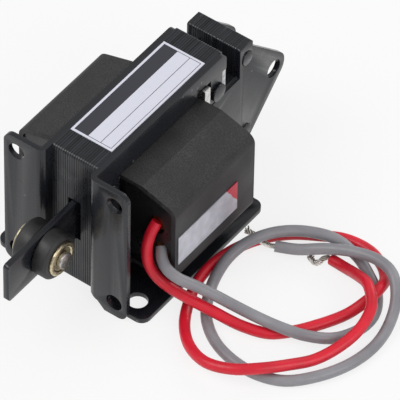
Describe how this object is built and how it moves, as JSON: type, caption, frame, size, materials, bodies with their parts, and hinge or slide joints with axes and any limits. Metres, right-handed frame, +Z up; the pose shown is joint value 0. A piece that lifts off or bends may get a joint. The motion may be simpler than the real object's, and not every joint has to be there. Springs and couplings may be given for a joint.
{
  "type": "push pull solenoid",
  "caption": "Open-frame push pull solenoid: laminated frame in side plates with feet, taped coil with free leads, T-shaped plunger with pull clevis and rubber-buffered push tongue.",
  "frame": {"origin": "centre of the four foot holes, on the underside of the feet", "axes": "+Y towards the pull end, along the plunger; +Z up; +X to the side of the leads"},
  "size_m": [0.0927, 0.0982, 0.0422],
  "materials": {
    "core_black": "black lacquer over steel laminations",
    "plate_black": "glossy black lacquer over steel",
    "ring_metal": "bare, lightly dulled",
    "bobbin_plastic": "black moulded nylon",
    "winding_copper": "enamelled copper wire",
    "coil_tape": "matt black insulating tape",
    "keeper_steel": "bare sheet steel",
    "name_foil": "printed foil",
    "label_paper": "silver-white film label",
    "bumper_rubber": "matt black rubber",
    "washer_brass": "dull plated brass",
    "pin_steel": "bare steel",
    "lead_red": "satin red sleeve",
    "lead_grey": "satin grey sleeve",
    "tinned_copper": "tinned copper strands"
  },
  "bodies": {
    "stator": {"stator_core": "core_black", "side_plate_right": "plate_black", "side_plate_left": "plate_black", "frame_rivets": "plate_black", "shading_ring_upper": "ring_metal", "shading_ring_lower": "ring_metal", "bobbin": "bobbin_plastic", "winding": "winding_copper", "coil_wrap": "coil_tape", "coil_keeper_upper": "keeper_steel", "coil_keeper_lower": "keeper_steel", "name_plate": "name_foil", "coil_label": "label_paper", "lead_red": "lead_red", "lead_grey": "lead_grey", "lead_tip_red": "tinned_copper", "lead_tip_grey": "tinned_copper"},
    "plunger": {"plunger_core_right": "core_black", "plunger_core_left": "core_black", "push_plate": "plate_black", "cheek_plate_right": "plate_black", "cheek_plate_left": "plate_black", "head_rivets": "plate_black", "stem_rivet": "plate_black", "bumper_right": "bumper_rubber", "bumper_left": "bumper_rubber", "bumper_washer_right": "washer_brass", "bumper_washer_left": "washer_brass", "bumper_pin": "pin_steel"}
  },
  "joints": [
    {"name": "plunger_slide", "type": "slide", "parent": "stator", "child": "plunger", "axis": [0, 1, 0], "range_m": [-0.0052, 0.0055]}
  ]
}
